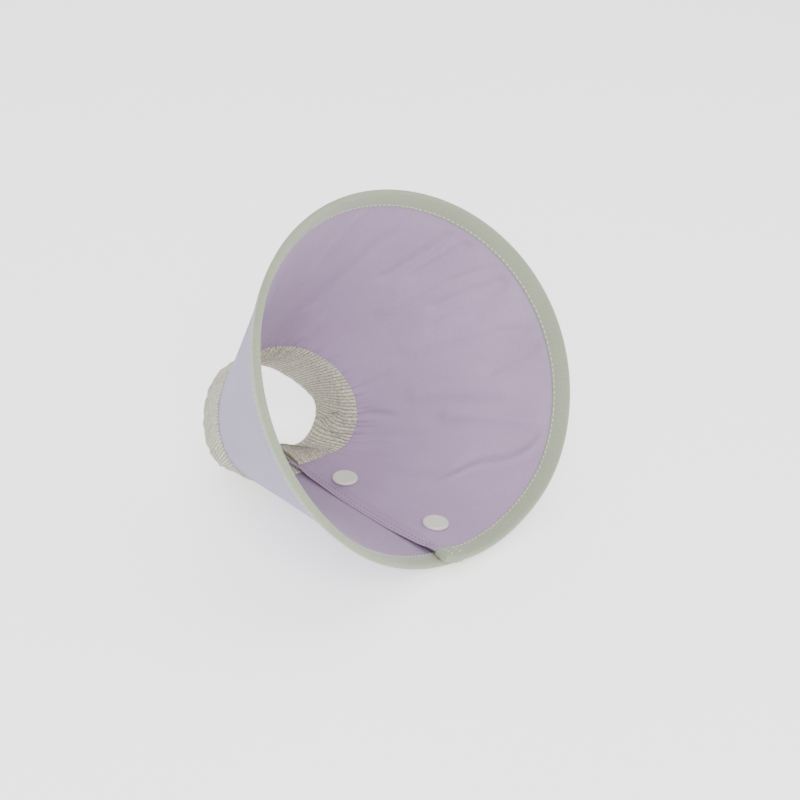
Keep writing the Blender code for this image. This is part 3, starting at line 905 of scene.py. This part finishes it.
def turned(name, profile, place, material):
    """A shape turned about the snap's axis; profile holds (radius, height) in metres."""
    mesh = bpy.data.meshes.new(name)
    edges = [(index, index + 1) for index in range(len(profile) - 1)]
    if profile[0][0] > 0:
        edges.append((len(profile) - 1, 0))
    mesh.from_pydata([(radius, 0, height) for radius, height in profile], edges, [])
    item = add_object(name, mesh, material)
    screw = item.modifiers.new("turn", "SCREW")
    screw.steps = LATHE_STEPS
    screw.render_steps = LATHE_STEPS
    screw.use_merge_vertices = True
    screw.merge_threshold = 0.00001
    screw.use_smooth_shade = True
    graph = bpy.context.evaluated_depsgraph_get()
    solid = bpy.data.meshes.new_from_object(item.evaluated_get(graph))
    item.modifiers.clear()
    item.data = solid
    solid.transform(place)
    solid.set_sharp_from_angle(angle=math.radians(40))
    return item


def snap_place(turn, run):
    start = wall_point(FULL_TURN + turn, run, WALL)
    out = Vector(inward(np.array([turn]), np.array([run]))[0])
    return Matrix.Translation(Vector(start)) @ out.to_track_quat("Z", "Y").to_matrix().to_4x4()


def cap_profile(shape, seat, up, rivet):
    """A cap and its prong, riveted over inside the stud or the socket."""
    cap = [(radius * MM, seat + up * height * MM) for radius, height in shape]
    end = [(PRONG, rivet), (RIVET, rivet), (RIVET, rivet - up * 0.3 * MM), (0.0, rivet - up * 0.4 * MM)]
    return cap + end


def stud_profile():
    plate = STUD_GAP + SNAP_PLATE
    top = plate + 1.1 * MM
    return [(1.9 * MM, top), (2.4 * MM, top), (2.7 * MM, top - 0.15 * MM), (2.8 * MM, top - 0.4 * MM),
            (2.65 * MM, plate + 0.15 * MM), (2.9 * MM, plate), (4.4 * MM, plate),
            (4.6 * MM, plate - 0.2 * MM), (4.6 * MM, STUD_GAP), (PRONG_HOLE, STUD_GAP),
            (PRONG_HOLE, plate), (1.9 * MM, plate)]


def socket_profile():
    top = LAP_GAP - SNAP_GAP
    plate = top - SNAP_PLATE
    mouth = STUD_GAP + SNAP_PLATE + SNAP_GAP
    return [(PRONG_HOLE, top), (4.6 * MM, top), (4.8 * MM, top - 0.2 * MM),
            (4.8 * MM, mouth + 0.3 * MM), (4.5 * MM, mouth), (3.3 * MM, mouth),
            (3.05 * MM, mouth + 0.2 * MM), (3.05 * MM, plate), (PRONG_HOLE, plate)]


for label, (snap_turn, snap_run) in SNAPS.items():
    place = snap_place(snap_turn, snap_run)
    inner_seat = LAP_GAP + WALL + CAP_SEAT
    rivet_in = LAP_GAP - SNAP_GAP - SNAP_PLATE - SNAP_GAP
    rivet_out = STUD_GAP + SNAP_PLATE + SNAP_GAP
    shapes = {
        "inner_cap": (cap_profile(INNER_CAP, inner_seat, 1, rivet_in), "closure_flap"),
        "socket": (socket_profile(), "closure_flap"),
        "outer_cap": (cap_profile(OUTER_CAP, -WALL - SNAP_GAP, -1, rivet_out), "cone"),
        "stud": (stud_profile(), "cone"),
    }
    for part, (profile, body) in shapes.items():
        piece = turned(f"snap_{label}_{part}_finished", profile, place, snap_plastic)
        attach(piece, body)
        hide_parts(f"snap_{label}_{part}")


# ---- bodies and nodes -------------------------------------------------------------------
HINGE_INSET = 0.0017  # from the lining to the fold's axis
hinge_near = wall_point(HINGE_TURN, 0.0, WALL + HINGE_INSET)
hinge_far = wall_point(HINGE_TURN, WALL_LENGTH, WALL + HINGE_INSET)
hinge_line = (hinge_far - hinge_near) / np.linalg.norm(hinge_far - hinge_near)
towards_flap = np.cross(hinge_line, (0.0, 0.0, 1.0))
towards_flap /= np.linalg.norm(towards_flap)

fixed = {
    outer_main: (("outer_fabric", "stiffener"), "outer_fabric"),
    lining_main: (("lining",), "lining"),
    binding_main: (("rim_binding",), "binding"),
    cuff_main: (("neck_cuff", "cuff_elastic"), "knit"),
    rim_threads_main: (("rim_stitching",), "thread"),
}
bending = {
    outer_flap: (("flap_outer_fabric", "flap_stiffener"), "outer_fabric"),
    lining_flap: (("flap_lining",), "lining"),
    binding_flap: (("flap_rim_binding",), "binding"),
    cuff_flap: (("flap_neck_cuff", "flap_cuff_elastic"), "knit"),
    rim_threads_flap: (("flap_rim_stitching",), "thread"),
}
for piece, (nodes, slot) in fixed.items():
    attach(piece, "cone")
    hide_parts(*nodes)
for piece, (nodes, slot) in bending.items():
    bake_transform(piece)
    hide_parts(*nodes)
for number, piece in enumerate(edge_threads, start=1):
    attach(piece, "closure_flap")
    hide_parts(f"flap_edge_stitching_{number}")
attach(tab_threads, "closure_flap")


def arc_length(span, run):
    level = np.full((1, 1), run)
    first, last = span(level)
    turns = first + (last - first) * shares_round(400)
    line = wall_point(turns[:, 0], run, WALL / 2)
    return float(np.linalg.norm(np.diff(line, axis=0), axis=1).sum())


def declare(span, first_run, last_run):
    """Measures the span's arc length at first_run and at last_run; the lengths are not used."""
    edges = [arc_length(span, first_run), arc_length(span, last_run)]


for span, outer_piece, lining_piece, binding_piece, cuff_piece in (
        (main_span, outer_main, lining_main, binding_main, cuff_main),
        (flap_span, outer_flap, lining_flap, binding_flap, cuff_flap)):
    declare(span, -TUCK, WALL_LENGTH)
    declare(span, -TUCK, WALL_LENGTH)
    declare(span, WALL_LENGTH - BINDING_WIDTH, WALL_LENGTH)
    declare(span, -CUFF_LENGTH, 0.0)


# ---- floor, light and camera ------------------------------------------------------------

FLOOR_GLOW = 1.0


def light_table():
    """A white table that glows a little, so that the ground stays bright under the collar."""
    bpy.ops.mesh.primitive_plane_add(size=12, location=(0, 0, 0))
    floor = bpy.context.active_object
    floor.name = "floor"
    nodes = Nodes("floor_paint", 0.9)
    nodes.shader.inputs["Emission Color"].default_value = (1, 1, 1, 1)
    nodes.shader.inputs["Emission Strength"].default_value = FLOOR_GLOW
    tone = nodes.ramp(nodes.noise(3.0, 2.0), ((0.3, (0.93, 0.93, 0.93)), (0.7, (0.95, 0.95, 0.95))))
    floor.data.materials.append(nodes.done(tone, None))


def area_light(name, place, target, size, power):
    data = bpy.data.lights.new(name, "AREA")
    data.shape = "SQUARE"
    data.size = size
    data.energy = power
    item = bpy.data.objects.new(name, data)
    bpy.context.scene.collection.objects.link(item)
    item.location = place
    item.rotation_euler = (Vector(target) - Vector(place)).to_track_quat("-Z", "Y").to_euler()


light_table()
object_middle = (cad_low + cad_high) / 2
area_light("key", (-0.85, -1.25, 1.35), object_middle, 0.9, 37)
area_light("fill", (1.4, -0.6, 1.0), object_middle, 1.6, 7)
area_light("top", (0.1, 0.4, 1.8), object_middle, 1.8, 18)
world = bpy.data.worlds.new("studio")
world.use_nodes = True
world.node_tree.nodes["Background"].inputs["Color"].default_value = (1, 1, 1, 1)
world.node_tree.nodes["Background"].inputs["Strength"].default_value = 1.05
bpy.context.scene.world = world

CAMERA_PLACE = Vector((-0.5609, -0.7038, 0.5935))
CAMERA_AZIMUTH = math.radians(-39.77)
CAMERA_ELEVATION = math.radians(30.30)
CAMERA_ROLL = math.radians(4.10)
CAMERA_LENS = 83.2
camera_data = bpy.data.cameras.new("camera")
camera_data.lens = CAMERA_LENS
camera_data.sensor_width = 36.0
camera = bpy.data.objects.new("camera", camera_data)
bpy.context.scene.collection.objects.link(camera)
back = Vector((math.sin(CAMERA_AZIMUTH) * math.cos(CAMERA_ELEVATION),
               -math.cos(CAMERA_AZIMUTH) * math.cos(CAMERA_ELEVATION), math.sin(CAMERA_ELEVATION)))
right = Vector((math.cos(CAMERA_AZIMUTH), math.sin(CAMERA_AZIMUTH), 0.0))
up = back.cross(right)
rolled_right = right * math.cos(CAMERA_ROLL) + up * math.sin(CAMERA_ROLL)
rolled_up = back.cross(rolled_right)
rotation = Matrix((rolled_right, rolled_up, back)).transposed()
camera.matrix_world = Matrix.Translation(CAMERA_PLACE) @ rotation.to_4x4()
bpy.context.scene.camera = camera
